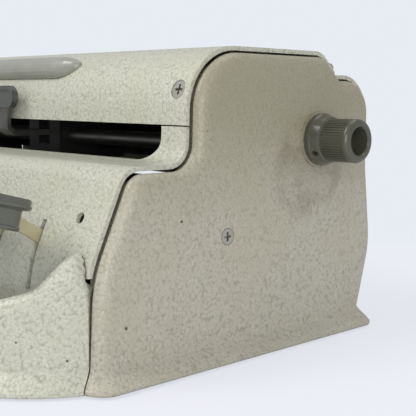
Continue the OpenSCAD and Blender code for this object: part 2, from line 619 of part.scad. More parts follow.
// Release bail: a cross shaft with arms that carry the pressure rollers
module release_bail() color(STEEL) {
    rod(-159, 159, RELEASE, release_shaft_r);
    for (x = [-138, -46, 46, 138]) difference() {
        along_x(x - 1.25, x + 1.25)
            polygon([[78, 89.5], [84, 89], [94, 97], [94, 103], [88, 104], [77.5, 95]]);
        rod(x - 3, x + 3, RELEASE, release_shaft_r);
        rod(x - 3, x + 3, PRESSURE, 2);
    }
    rod(-142, 142, PRESSURE, 2);
}
module pressure_rollers() color(RUBBER) for (x = [-92, 0, 92]) difference() {
    rod(x - 12, x + 12, PRESSURE, 5);
    rod(x - 13, x + 13, PRESSURE, 2);
}
module release_levers() color(PLASTIC) for (s = [-1, 1]) difference() {
    union() {
        along_x(s * 157.2 - 1.5, s * 157.2 + 1.5) polygon([[86, 95.4], [94, 95.4], [94, 103], [90, 124],
            [89.4, 133], [87.2, 133], [86.9, 128], [86, 103]]);
        rod(s * 157.2 - 1.5, s * 157.2 + 1.5, RELEASE_TIP, 2.7);
    }
    rod(s * 157.2 - 3, s * 157.2 + 3, RELEASE, release_shaft_r);
    rod(s * 157.2 - 3, s * 157.2 + 3, RELEASE_TIP, 1);
}

// ---------- handle ----------

// Carrying handle: a half-round bar with pointed ends that lies on the front shoulder
handle_a = 42;
handle_half = 77;
handle_straight = 60;
handle_seat = RIM[4][2] + proud + 0.4;
function handle_ring(x) = let (
    over = max(abs(x) - handle_straight, 0) / (handle_half - handle_straight),
    size = sqrt(max(1 - pow(over, 2), 0.012)), shift = 2.2 * over * over,
    u = [sin(handle_a), cos(handle_a)], w = [-cos(handle_a), sin(handle_a)])
    [for (p = concat([[-1, 0]], [for (a = [180 : -18 : 0]) [cos(a), 0.12 + 0.88 * sin(a)]], [[1, 0]]))
        let (q = shoulder_c + w * (handle_seat + 6.3 * size * p[1]) + u * (6.2 * size * p[0] + shift))
        [x, q[0], q[1]]];
module carry_handle() color(HANDLE_GREY) {
    difference() {
        skin([for (x = concat([for (k = [0 : 8]) -handle_half + 0.1 + (1 - cos(k * 11.25)) * 16.9],
            [for (k = [8 : -1 : 0]) handle_half - 0.1 - (1 - cos(k * 11.25)) * 16.9])) handle_ring(-x)]);
        for (s = [-1, 1]) translate([s * 59, -8.6, 138]) rotate([48, 0, 0])
            cylinder(h = 6, r = 1.6, $fn = 32);
    }
    for (s = [-1, 1]) {
        translate([s * 59 - 5, -11, 106]) cube([10, 3, 28.5]);
        translate([s * 59 - 8, -11, 106]) cube([16, 4.5, 2.4]);
    }
}

// ---------- margin stops ----------

module margin_stop(x) color(PLASTIC) {
    difference() {
        translate([x - 6, 96, 58.8]) cube([12, 9.2, 11.4]);
        translate([x - 7, 98.85, 61.35]) cube([14, 3.3, 6.3]);
        translate([x - 7, 101.5, 62.2]) cube([14, 1.6, 4.6]);
    }
    translate([x - 3, 105.2, 61.5]) cube([6, 10.8, 6]);
}
module margin_stop_right() margin_stop(118);
module margin_stop_left() margin_stop(-118);

base_pan();
front_apron();
side_panel_right();
side_panel_left();
front_cover();
top_cover();
rear_cover();
rubber_feet();
casing_screws();
frame_plate_right();
frame_plate_left();
carriage_rails();
key_shaft();
key_springs();
paper_guide();
margin_rack();
bell();
spacing_rack();
dot_bar_guides();
lever_dot_1();
lever_dot_2();
lever_dot_3();
lever_dot_4();
lever_dot_5();
lever_dot_6();
lever_space();
lever_backspace();
lever_line();
keycap_dot_1();
keycap_dot_2();
keycap_dot_3();
keycap_dot_4();
keycap_dot_5();
keycap_dot_6();
keycap_space();
keycap_backspace();
keycap_line();
dot_bar_1();
dot_bar_2();
dot_bar_3();
dot_bar_4();
dot_bar_5();
dot_bar_6();
head_body();
head_pins();
spring_barrel();
carriage_lever();
lever_pad();
paper_roller();
knob_right();
knob_left();
line_ratchet();
line_pawl();
release_bail();
release_levers();
pressure_rollers();
carry_handle();
margin_stop_right();
margin_stop_left();
bell_clapper();
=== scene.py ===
"""Manual braille writer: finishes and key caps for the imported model, with table and studio."""

import logging
import math
from dataclasses import dataclass
from enum import Enum
from typing import Callable, Iterable

import bmesh
import bpy
from mathutils import Matrix, Vector


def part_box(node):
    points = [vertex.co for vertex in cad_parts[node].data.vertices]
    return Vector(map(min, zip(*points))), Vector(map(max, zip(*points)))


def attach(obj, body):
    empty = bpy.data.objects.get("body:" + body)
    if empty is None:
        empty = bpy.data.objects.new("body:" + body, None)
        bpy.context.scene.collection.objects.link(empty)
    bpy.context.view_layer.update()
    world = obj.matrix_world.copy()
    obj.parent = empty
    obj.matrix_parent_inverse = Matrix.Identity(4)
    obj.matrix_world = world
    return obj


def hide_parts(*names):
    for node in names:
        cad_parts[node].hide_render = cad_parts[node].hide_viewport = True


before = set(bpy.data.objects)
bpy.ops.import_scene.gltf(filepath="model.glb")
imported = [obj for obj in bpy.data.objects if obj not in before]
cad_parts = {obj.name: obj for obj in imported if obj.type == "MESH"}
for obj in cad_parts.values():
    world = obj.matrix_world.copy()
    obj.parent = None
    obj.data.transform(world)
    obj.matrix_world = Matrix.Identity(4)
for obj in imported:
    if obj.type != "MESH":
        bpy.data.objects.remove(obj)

LOG = logging.getLogger("braille_writer")
NODES: dict[str, bpy.types.Object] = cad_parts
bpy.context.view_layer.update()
MM = 0.001
Colour = tuple[float, float, float]
Point = tuple[float, float, float]
Mark = tuple[Point, float]

# The Mix node's colour sockets have the names of its number sockets, so they go by number.
MIX_AMOUNT, MIX_UNDER, MIX_OVER, MIX_RESULT = 0, 6, 7, 2


class Cells(Enum):
    """Kinds of cell pattern."""

    HARD = "F1"
    SOFT = "SMOOTH_F1"


class Pick(Enum):
    """Kinds of mesh part that can be selected."""

    EDGE = "EDGE"
    FACE = "FACE"


class Socket:
    """A shader value whose arithmetic adds Math nodes."""

    def __init__(self, bench: "Bench", link: bpy.types.NodeSocket) -> None:
        """Keeps the socket and the bench that adds nodes.

        Args:
            bench: the material's node bench.
            link: the output socket.
        """
        self.bench = bench
        self.link = link

    def _math(self, operation: str, *values: "Socket | float") -> "Socket":
        """Adds a Math node.

        Args:
            operation: the Math node's operation.
            values: its inputs.

        Returns:
            The node's value.
        """
        return self.bench.node("ShaderNodeMath", {"operation": operation}, dict(enumerate(values)))

    def __add__(self, other: "Socket | float") -> "Socket":
        """Sum."""
        return self._math("ADD", self, other)

    __radd__ = __add__

    def __mul__(self, other: "Socket | float") -> "Socket":
        """Product."""
        return self._math("MULTIPLY", self, other)

    __rmul__ = __mul__

    def __sub__(self, other: "Socket | float") -> "Socket":
        """Difference."""
        return self._math("SUBTRACT", self, other)

    def __rsub__(self, other: float) -> "Socket":
        """Difference from a number."""
        return self._math("SUBTRACT", other, self)

    def __abs__(self) -> "Socket":
        """Absolute value."""
        return self._math("ABSOLUTE", self)

    def power(self, exponent: float) -> "Socket":
        """The value raised to an exponent."""
        return self._math("POWER", self, exponent)

    def larger(self, other: "Socket | float") -> "Socket":
        """The larger of two values."""
        return self._math("MAXIMUM", self, other)

    def between(self, low: float, high: float) -> "Socket":
        """Maps low to high smoothly onto 0 to 1, clamped.

        Args:
            low: value that gives 0.
            high: value that gives 1.

        Returns:
            The mapped value.
        """
        settings = {"interpolation_type": "SMOOTHSTEP"}
        return self.bench.node("ShaderNodeMapRange", settings, {0: self, 1: low, 2: high})


class Bench:
    """One material's node tree and the ways to add to it."""

    # Rays that look for shelter, and the warp's scale beside the cells it moves.
    SHELTER_SAMPLES = 8
    WARP_SCALE = 0.6
    # A round mark: noise per metre along its edge, and the share of its radius that is solid.
    RAGGED_SCALE = 900.0
    SOLID_SHARE = 0.75

    def __init__(self, name: str) -> None:
        """Makes an empty material.

        Args:
            name: the material's name.
        """
        self.material = bpy.data.materials.new(name)
        self.material.use_nodes = True
        self.tree = self.material.node_tree
        self.tree.nodes.clear()

    def node(self, kind: str, settings: dict | None = None, values: dict | None = None,
             out: int | str = 0) -> Socket:
        """Adds a node.

        Args:
            kind: the node's type.
            settings: its properties, set first.
            values: inputs by number or name, each a number, colour or Socket.
            out: the output wanted.

        Returns:
            That output.
        """
        new = self.tree.nodes.new(kind)
        for key, value in (settings or {}).items():
            setattr(new, key, value)
        for key, value in (values or {}).items():
            if isinstance(value, Socket):
                self.tree.links.new(value.link, new.inputs[key])
            else:
                new.inputs[key].default_value = value
        return Socket(self, new.outputs[out])

    def vector(self, operation: str, values: dict, out: str = "Vector") -> Socket:
        """Adds a Vector Math node.

        Args:
            operation: its operation.
            values: its inputs.
            out: "Vector", or "Value" where the result is a number.

        Returns:
            That output.
        """
        return self.node("ShaderNodeVectorMath", {"operation": operation}, values, out)

    def place(self) -> Socket:
        """The point's place on the object, in metres."""
        return self.node("ShaderNodeTexCoord", out="Object")

    def level(self) -> Socket:
        """The point's height above the table, in metres."""
        return self.node("ShaderNodeSeparateXYZ", values={0: self.place()}, out="Z")

    def noise(self, scale: float, detail: float = 2.0, rough: float = 0.5,
              stretch: Point = (1, 1, 1)) -> Socket:
        """Soft noise.

        Args:
            scale: its scale per metre.
            detail: octaves.
            rough: roughness of the octaves.
            stretch: scale along each axis.

        Returns:
            A value around a half.
        """
        spot = self.node("ShaderNodeMapping", values={"Vector": self.place(), "Scale": stretch})
        values = {"Vector": spot, "Scale": scale, "Detail": detail, "Roughness": rough}
        return self.node("ShaderNodeTexNoise", {}, values)

    def cells(self, scale: float, kind: Cells = Cells.HARD, smooth: float = 0.0,
              warp: float = 0.0) -> Socket:
        """Cell pattern.

        Args:
            scale: cells per metre.
            kind: how the cells meet.
            smooth: smoothness of soft cells.
            warp: how far noise moves the pattern, in metres.

        Returns:
            The distance from the cell's middle.
        """
        spot = self.place()
        if warp:
            values = {"Vector": spot, "Scale": scale * self.WARP_SCALE, "Detail": 1.0}
            push = self.node("ShaderNodeTexNoise", {}, values, "Color")
            shift = self.vector("SCALE", {0: push, "Scale": warp})
            spot = self.vector("ADD", {0: spot, 1: shift})
        values = {"Vector": spot, "Scale": scale}
        if kind is Cells.SOFT:
            values["Smoothness"] = smooth
        return self.node("ShaderNodeTexVoronoi", {"feature": kind.value}, values)

    def mix(self, amount: Socket | float, under: Socket | Colour, over: Socket | Colour) -> Socket:
        """Lays a colour over another.

        Args:
            amount: how much of the upper one.
            under: the lower colour.
            over: the upper colour.

        Returns:
            The mixed colour.
        """
        def full(colour: Socket | Colour) -> Socket | tuple:
            """Adds alpha to a plain colour."""
            return colour if isinstance(colour, Socket) else (*colour, 1.0)

        values = {MIX_AMOUNT: amount, MIX_UNDER: full(under), MIX_OVER: full(over)}
        return self.node("ShaderNodeMix", {"data_type": "RGBA"}, values, MIX_RESULT)

    def crease(self, reach: float) -> Socket:
        """How sheltered the point is, from 0 in the open to 1 in a tight corner.

        Args:
            reach: distance looked at, in metres.

        Returns:
            The shelter.
        """
        settings = {"samples": self.SHELTER_SAMPLES}
        return 1 - self.node("ShaderNodeAmbientOcclusion", settings, {"Distance": reach}, "AO")

    def spot(self, centre: Point, radius: float, ragged: float = 0.0) -> Socket:
        """A round mark, 1 inside and 0 outside.

        Args:
            centre: its middle, in millimetres.
            radius: its radius, in millimetres.
            ragged: how uneven its edge is, in millimetres.

        Returns:
            The mark.
        """
        middle = tuple(value * MM for value in centre)
        gap = self.vector("DISTANCE", {0: self.place(), 1: middle}, "Value")
        if ragged:
            gap = gap + (self.noise(self.RAGGED_SCALE) - 0.5) * (2 * ragged * MM)
        return 1 - gap.between(radius * MM * self.SOLID_SHARE, radius * MM)

    def bump(self, height: Socket, distance: float, strength: float,
             under: Socket | None = None) -> Socket:
        """A bump of the surface.

        Args:
            height: the height.
            distance: its depth in metres.
            strength: how strongly it shows.
            under: a bump that it is laid over.

        Returns:
            The normal.
        """
        values: dict = {"Strength": strength, "Distance": distance, "Height": height}
        if under is not None:
            values["Normal"] = under
        return self.node("ShaderNodeBump", {}, values)

    def finish(self, **sockets: Socket | float | tuple) -> bpy.types.Material:
        """Joins the shader to the output.

        Args:
            sockets: the shader's inputs, with underscores for spaces.

        Returns:
            The finished material.
        """
        values = {key.replace("_", " "): value for key, value in sockets.items()}
        return self.output(self.node("ShaderNodeBsdfPrincipled", {}, values))

    def output(self, shader: Socket) -> bpy.types.Material:
        """Joins a shader to the material's output.

        Args:
            shader: the shader.

        Returns:
            The finished material.
        """
        out = self.tree.nodes.new("ShaderNodeOutputMaterial")
        self.tree.links.new(shader.link, out.inputs[0])
        return self.material


def shade(colour: Colour, factor: float | Colour, plus: float = 0.0) -> Colour:
    """A lighter or darker colour.

    Args:
        colour: the colour.
        factor: what it is multiplied by, or one number each for red, green and blue.
        plus: what is then added.

    Returns:
        The new colour, at most 1.
    """
    factors = factor if isinstance(factor, tuple) else (factor, factor, factor)
    return tuple(min(1.0, part * by + plus) for part, by in zip(colour, factors))


@dataclass(frozen=True)
class HammerEnamel:
    """Hammered enamel: soft rounded cells with fine darker seams, chips, grime and painted shade in
    the corners, and painted shade towards the top.

    Attributes:
        name: the material's name.
        tone: colour of the cells.
        seam: colour of the seams.
        cell: size of a cell, in millimetres.
        depth: depth of the pattern, in millimetres.
        top_shade: how much painted shade darkens the paint towards the top.
        chips: middle and radius of each chip, in millimetres.
        stain: middle and radius of the soiled place, in millimetres, and how dark it is.
        scratch: the scratch's ends, in millimetres.
    """

    name: str
    tone: Colour
    seam: Colour
    cell: float = 1.45
    depth: float = 0.20
    top_shade: float = 0.0
    chips: tuple[Mark, ...] = ()
    stain: tuple[Point, float, float] | None = None
    scratch: tuple[Point, Point] | None = None

    # Factors on the tone, for its pale and warm places and for the painted shade towards the top.
    LIGHTER = 1.22
    WARMER = (0.93, 0.90, 0.80)
    SHADED_TOP = (0.60, 0.58, 0.47)
    # Heights in metres between which the painted shade towards the top sets in.
    TOP_SHADE_LEVELS = (0.045, 0.125)
    # Colour of the grime and painted shade in the corners.
    GRIME = (0.10, 0.09, 0.06)
    SOIL = (0.15, 0.12, 0.07)
    BARE = (0.035, 0.032, 0.026)
    # How strongly each of these shows.
    SEAM_SHARE, FINE_SHARE = 0.72, 0.28
    LIGHT_SHARE, WARM_SHARE = 0.6, 0.32
    GRIME_SHARE, BARE_SHARE, SCRATCH_SHARE = 0.55, 0.85, 0.6
    # The finer cells' number beside the larger ones, and the depth of a chip.
    FINER = 1.9
    CHIP_DEPTH = 0.12 * MM

    def make(self) -> bpy.types.Material:
        """Builds the material."""
        bench = Bench(self.name)
        per_metre = 1000.0 / self.cell
        cell = bench.cells(per_metre, Cells.SOFT, smooth=0.55, warp=0.9 * MM)
        fine = bench.cells(per_metre * self.FINER, Cells.SOFT, smooth=0.6, warp=0.6 * MM)
        broad = bench.noise(28.0, detail=3.0)
        mottled = bench.noise(800.0, detail=3.0, rough=0.6)
        seam = cell.between(0.50, 0.78) * (0.35 + mottled.between(0.35, 0.62) * 0.65)
        pattern = seam * self.SEAM_SHARE + fine.between(0.45, 0.8) * self.FINE_SHARE
        colour = bench.mix(pattern, self.tone, self.seam)
        light = mottled.between(0.50, 0.68) * self.LIGHT_SHARE
        colour = bench.mix(light, colour, shade(self.tone, self.LIGHTER))
        warm = broad.between(0.44, 0.66) * self.WARM_SHARE
        colour = bench.mix(warm, colour, shade(self.tone, self.WARMER))
        # Painted shade: the paint darkens towards the top.
        shaded_top_amount = bench.level().between(*self.TOP_SHADE_LEVELS) * self.top_shade
        colour = bench.mix(shaded_top_amount, colour, shade(self.tone, self.SHADED_TOP))
        # Grime and painted shade: the paint is darker in its corners, by ambient occlusion.
        crease_shade = bench.crease(4 * MM).between(0.35, 0.85)
        colour = bench.mix(crease_shade * self.GRIME_SHARE, colour, self.GRIME)
        if self.stain is not None:
            centre, radius, amount = self.stain
            soiled = bench.spot(centre, radius).power(0.7)
            soiled = soiled * bench.noise(90.0, detail=3.0).between(0.3, 0.7)
            colour = bench.mix(soiled * amount, colour, self.SOIL)
        marks = self._marks(bench)
        colour = bench.mix(marks * self.BARE_SHARE, colour, self.BARE)
        height = (1 - cell.between(0.05, 0.75)) + mottled * 0.35
        fold = bench.bump(height, self.depth * MM, strength=0.9)
        fold = bench.bump(1 - marks, self.CHIP_DEPTH, strength=0.6, under=fold)
        rough = 0.34 + seam * 0.10 + crease_shade * 0.25 + marks * 0.3 + broad * 0.05
        return bench.finish(Base_Color=colour, Roughness=rough, Normal=fold, Coat_Weight=0.25,
                            Coat_Roughness=0.22, Specular_IOR_Level=0.45)

    def _marks(self, bench: Bench) -> Socket:
        """Specks, chips and the scratch.

        Args:
            bench: the material's bench.

        Returns:
            1 where the paint is gone.
        """
        specks = 1 - bench.cells(95.0).between(0.022, 0.038)
        marks = specks * bench.noise(33.0, detail=1.0).between(0.52, 0.60)
        for centre, radius in self.chips:
            marks = marks.larger(bench.spot(centre, radius, ragged=radius * 0.9))
        if self.scratch is not None:
            marks = marks.larger(self._scratch(bench) * self.SCRATCH_SHARE)
        return marks

    def _scratch(self, bench: Bench) -> Socket:
        """A thin bent scratch between two points.

        Args:
            bench: the material's bench.

        Returns:
            1 on the scratch.
        """
        first, last = (Vector(point) * MM for point in self.scratch)
        along = (last - first).normalized()
        length = (last - first).length
        bend = 1.6 * MM
        offset = bench.vector("SUBTRACT", {0: bench.place(), 1: tuple(first)})
        reach = bench.vector("DOT_PRODUCT", {0: offset, 1: tuple(along)}, "Value")
        across = bench.vector("CROSS_PRODUCT", {0: offset, 1: tuple(along)})
        gap = bench.vector("LENGTH", {0: across}, "Value")
        wave = bench.noise(60.0, detail=1.0) * (2 * bend) - bend
        line = 1 - abs(gap + wave).between(0.15 * MM, 0.42 * MM)
        ends = reach.between(0.0, 0.12 * length) * (1 - reach.between(0.85 * length, length))
        return line * ends


@dataclass(frozen=True)
class Moulded:
    """Moulded plastic or hard rubber with fine grain, rubbed places and dust in its corners.

    Attributes:
        name: the material's name.
        tone: its colour.
        rough: its roughness where it is clean.
        coat: how much clear gloss lies on it.
        dust: how much dust lies in its corners.
        rubbed: how much paler its rubbed places are.
        grain: depth of the grain, in millimetres.
        pits: middle and radius of each pit, in millimetres.
    """

    name: str
    tone: Colour
    rough: float = 0.35
    coat: float = 0.0
    dust: float = 0.25
    rubbed: float = 0.15
    grain: float = 0.012
    pits: tuple[Mark, ...] = ()

    PIT = (0.01, 0.01, 0.01)
    # Factors on the tone for dull, rubbed and dusty places, and what is added to the last two.
    DULLER = 0.72
    RUBBED, RUBBED_PLUS = 1.35, 0.01
    DUSTY, DUSTY_PLUS = 0.5, 0.12
    DULL_SHARE = 0.4
    # Scale of the fine upright hairlines along each axis.
    HAIRLINES = (1.0, 1.0, 0.06)

    def make(self) -> bpy.types.Material:
        """Builds the material."""
        bench = Bench(self.name)
        broad = bench.noise(70.0, detail=4.0, rough=0.6)
        fine = bench.noise(2600.0)
        dull = broad.between(0.35, 0.65) * self.DULL_SHARE
        colour = bench.mix(dull, self.tone, shade(self.tone, self.DULLER))
        worn = bench.noise(160.0, detail=3.0).between(0.52, 0.72)
        paler = shade(self.tone, self.RUBBED, plus=self.RUBBED_PLUS)
        colour = bench.mix(worn * self.rubbed, colour, paler)
        crease_shade = bench.crease(2.5 * MM).between(0.4, 0.9)
        dusty = shade(self.tone, self.DUSTY, plus=self.DUSTY_PLUS)
        colour = bench.mix(crease_shade * self.dust, colour, dusty)
        for centre, radius in self.pits:
            colour = bench.mix(bench.spot(centre, radius), colour, self.PIT)
        hair = bench.noise(700.0, stretch=self.HAIRLINES).between(0.62, 0.72)
        rough = self.rough + worn * 0.12 + crease_shade * 0.2 + hair * 0.10
        fold = bench.bump(fine + broad * 2.0, self.grain * MM, strength=0.8)
        return bench.finish(Base_Color=colour, Roughness=rough, Normal=fold,
                            Coat_Weight=self.coat, Coat_Roughness=0.10)


@dataclass(frozen=True)
class Metal:
    """Bare or plated metal with drawn lines, tarnish, and oil and painted shade in its corners.

    Attributes:
        name: the material's name.
        tone: its colour.
        tarnish: colour of its tarnish.
        rough: its roughness where it is clean.
        metallic: how metallic it is.
        lines: scale of the drawn lines along each axis.
    """

    name: str
    tone: Colour
    tarnish: Colour
    rough: float = 0.32
    metallic: float = 1.0
    lines: Point = (0.05, 1.0, 1.0)

    # Colour of the oil and painted shade in the corners.
    OIL = (0.04, 0.035, 0.03)
    # Factor on the tone in the drawn lines, and how strongly lines, tarnish, and oil with painted
    # shade show.
    DARKER = 0.8
    LINE_SHARE, TARNISH_SHARE, OIL_SHARE = 0.25, 0.55, 0.6
    LINE_DEPTH = 0.02 * MM

    def make(self) -> bpy.types.Material:
        """Builds the material."""
        bench = Bench(self.name)
        drawn = bench.noise(1500.0, detail=3.0, rough=0.6, stretch=self.lines)
        broad = bench.noise(60.0, detail=4.0, rough=0.6)
        lined = drawn.between(0.3, 0.7) * self.LINE_SHARE
        colour = bench.mix(lined, self.tone, shade(self.tone, self.DARKER))
        stained = broad.between(0.48, 0.70)
        colour = bench.mix(stained * self.TARNISH_SHARE, colour, self.tarnish)
        # Oil and painted shade: darker and less metallic in the corners, by ambient occlusion.
        crease_shade = bench.crease(2.0 * MM).between(0.4, 0.9)
        colour = bench.mix(crease_shade * self.OIL_SHARE, colour, self.OIL)
        rough = self.rough + drawn * 0.12 + stained * 0.14 + crease_shade * 0.25
        fold = bench.bump(drawn, self.LINE_DEPTH, strength=0.5)
        shine = self.metallic - crease_shade * 0.5 * self.metallic
        return bench.finish(Base_Color=colour, Roughness=rough, Metallic=shine, Normal=fold)


@dataclass(frozen=True)
class StageFinish:
    """Matt pale finish of the table, most of which is a plain glow in what the camera sees.

    Attributes:
        name: the material's name.
        tone: its colour.
        mottling: how much darker its clouds are.
        glow: colour of the glow.
        glowing: share of the glow in what the camera sees.
    """

    name: str
    tone: Colour
    mottling: float
    glow: Colour = (0.87, 0.89, 0.96)
    glowing: float = 0.72

    def make(self) -> bpy.types.Material:
        """Builds the material."""
        bench = Bench(self.name)
        cloud = bench.noise(9.0, detail=3.0).between(0.3, 0.7)
        grit = bench.noise(240.0)
        colour = bench.mix(cloud, self.tone, shade(self.tone, 1 - self.mottling))
        fold = bench.bump(grit, 0.12 * MM, strength=0.3)
        matt = {"Base Color": colour, "Roughness": 0.62, "Normal": fold,
                "Specular IOR Level": 0.25}
        seen = bench.node("ShaderNodeLightPath", out="Is Camera Ray") * self.glowing
        pale = bench.node("ShaderNodeEmission", {}, {0: (*self.glow, 1.0)})
        plain = bench.node("ShaderNodeBsdfPrincipled", {}, matt)
        return bench.output(bench.node("ShaderNodeMixShader", {}, {0: seen, 1: plain, 2: pale}))


def dress(names: Iterable[str], material: bpy.types.Material) -> None:
    """Gives CAD nodes a material.

    Args:
        names: the nodes' names.
        material: their finish.
    """
    for name in names:
        node = NODES[name]
        node.data.materials.clear()
        node.data.materials.append(material)
        LOG.info("dressed %s with %s", name, material.name)


class Modeller:
    """Short forms of the edit-mode steps used for new pieces."""

    MERGE = 1e-6

    @staticmethod
    def start(add: Callable[[], object], name: str) -> bpy.types.Object:
        """Adds a primitive and enters edit mode with nothing selected.

        Args:
            add: the call that adds it.
            name: the piece's name.

        Returns:
            The new object.
        """
        bpy.ops.object.select_all(action="DESELECT")
        add()
        piece = bpy.context.object
        piece.name = piece.data.name = name
        bpy.ops.object.transform_apply(location=True, rotation=True, scale=True)
        bpy.ops.object.mode_set(mode="EDIT")
        bpy.ops.mesh.select_all(action="DESELECT")
        return piece

    @staticmethod
    def pick(piece: bpy.types.Object, kind: Pick, test: Callable[[object], bool]) -> None:
        """Selects faces or edges of a piece in edit mode by a test.

        Args:
            piece: the piece.
            kind: what is selected.
            test: true for what is wanted.
        """
        bpy.ops.mesh.select_mode(type=kind.value)
        bpy.ops.mesh.select_all(action="DESELECT")
        mesh = bmesh.from_edit_mesh(piece.data)
        for part in (mesh.faces if kind is Pick.FACE else mesh.edges):
            part.select_set(test(part))
        mesh.select_flush_mode()
        bmesh.update_edit_mesh(piece.data)

    @staticmethod
    def finish(piece: bpy.types.Object, material: bpy.types.Material, angle: float) -> None:
        """Leaves edit mode, cleans, smooths and dresses a piece.

        Args:
            piece: the piece.
            material: its finish.
            angle: sharpest angle that is shaded smooth, in degrees.
        """
        bpy.ops.mesh.select_all(action="SELECT")
        bpy.ops.mesh.remove_doubles(threshold=Modeller.MERGE)
        bpy.ops.mesh.normals_make_consistent(inside=False)
        bpy.ops.object.mode_set(mode="OBJECT")
        bpy.ops.object.shade_smooth_by_angle(angle=math.radians(angle))
        piece.data.materials.clear()
        piece.data.materials.append(material)

    @staticmethod
    def modify(piece: bpy.types.Object, kind: str, **settings: object) -> None:
        """Adds a modifier and applies it.

        Args:
            piece: the piece.
            kind: the modifier's type.
            settings: its properties.
        """
        change = piece.modifiers.new(kind.lower(), kind)
        for key, value in settings.items():
            setattr(change, key, value)
        bpy.context.view_layer.objects.active = piece
        bpy.ops.object.modifier_apply(modifier=change.name)


@dataclass
class Casing:
    """The cast apron and side panels, the sheet covers, feet and screws."""

    light: HammerEnamel = HammerEnamel(
        "hammer_enamel_light", (0.52, 0.525, 0.44), (0.25, 0.25, 0.19),
        chips=(((150, -93, 22), 0.6), ((160, -80, 40), 0.8), ((165, -76, 30), 0.7),
               ((140, -101, 30), 0.5), ((163, -78, 14), 0.6)),
        scratch=((141.0, -100.5, 27.0), (157.0, -89.0, 42.0)))
    # The side panels carry painted shade towards the top.
    side: HammerEnamel = HammerEnamel(
        "hammer_enamel_side", (0.45, 0.43, 0.355), (0.23, 0.22, 0.165),
        chips=(((171, -58, 30), 0.7), ((172, -55, 25), 0.9), ((170, -10.5, 110), 0.8),
               ((169.5, -10.5, 117), 1.0), ((171, -10, 104), 0.7), ((172, -25, 66), 0.7)),
        stain=((172.0, 58.0, 84.0), 27.0, 0.34), top_shade=0.75)
    pan: Metal = Metal("blacked_pan", (0.05, 0.05, 0.05), (0.03, 0.03, 0.03), 0.5, 0.4)
    feet: Moulded = Moulded("black_rubber_feet", (0.03, 0.03, 0.03), 0.65, dust=0.4)
    screws: Metal = Metal("nickel_screws", (0.50, 0.49, 0.44), (0.20, 0.18, 0.13), 0.26)

    def dress(self) -> None:
        """Paints the casing and finishes its fasteners."""
        dress(("front_apron", "front_cover", "top_cover", "rear_cover"), self.light.make())
        dress(("side_panel_right", "side_panel_left"), self.side.make())
        dress(("base_pan",), self.pan.make())
        dress(("rubber_feet",), self.feet.make())
        dress(("casing_screws",), self.screws.make())


@dataclass
class Works:
    """The frame, shafts, bars and head seen through the window and the slots, in tones kept dark as
    painted shade inside the casing.
    """

    # Painted shade: the steel's tones are darkened and the roller's rubber made blacker, for the
    # shade inside the casing.
    dark: Metal = Metal("shade_darkened_steel", (0.030, 0.030, 0.030), (0.020, 0.018, 0.015), 0.46, 0.6)
    steel: Metal = Metal("bright_steel", (0.20, 0.20, 0.19), (0.09, 0.08, 0.07), 0.36)
    brass: Metal = Metal("bell_brass", (0.66, 0.47, 0.20), (0.36, 0.24, 0.10), 0.25)
    rubber: Moulded = Moulded("roller_rubber", (0.012, 0.012, 0.012), 0.75, dust=0.1)

    def dress(self) -> None:
        """Finishes the hidden works."""
        dress(("frame_plate_right", "frame_plate_left", "head_body", "paper_guide",
               "dot_bar_guides", "spacing_rack", "margin_rack", "release_bail"), self.dark.make())
        bars = sorted(name for name in NODES if name.startswith("dot_bar_") and name[-1].isdigit())
        dress(("carriage_rails", "key_shaft", "key_springs", "head_pins", "spring_barrel",
               "carriage_lever", "line_ratchet", "line_pawl", "bell_clapper", *bars),
              self.steel.make())
        dress(("bell",), self.brass.make())
        dress(("paper_roller", "pressure_rollers"), self.rubber.make())


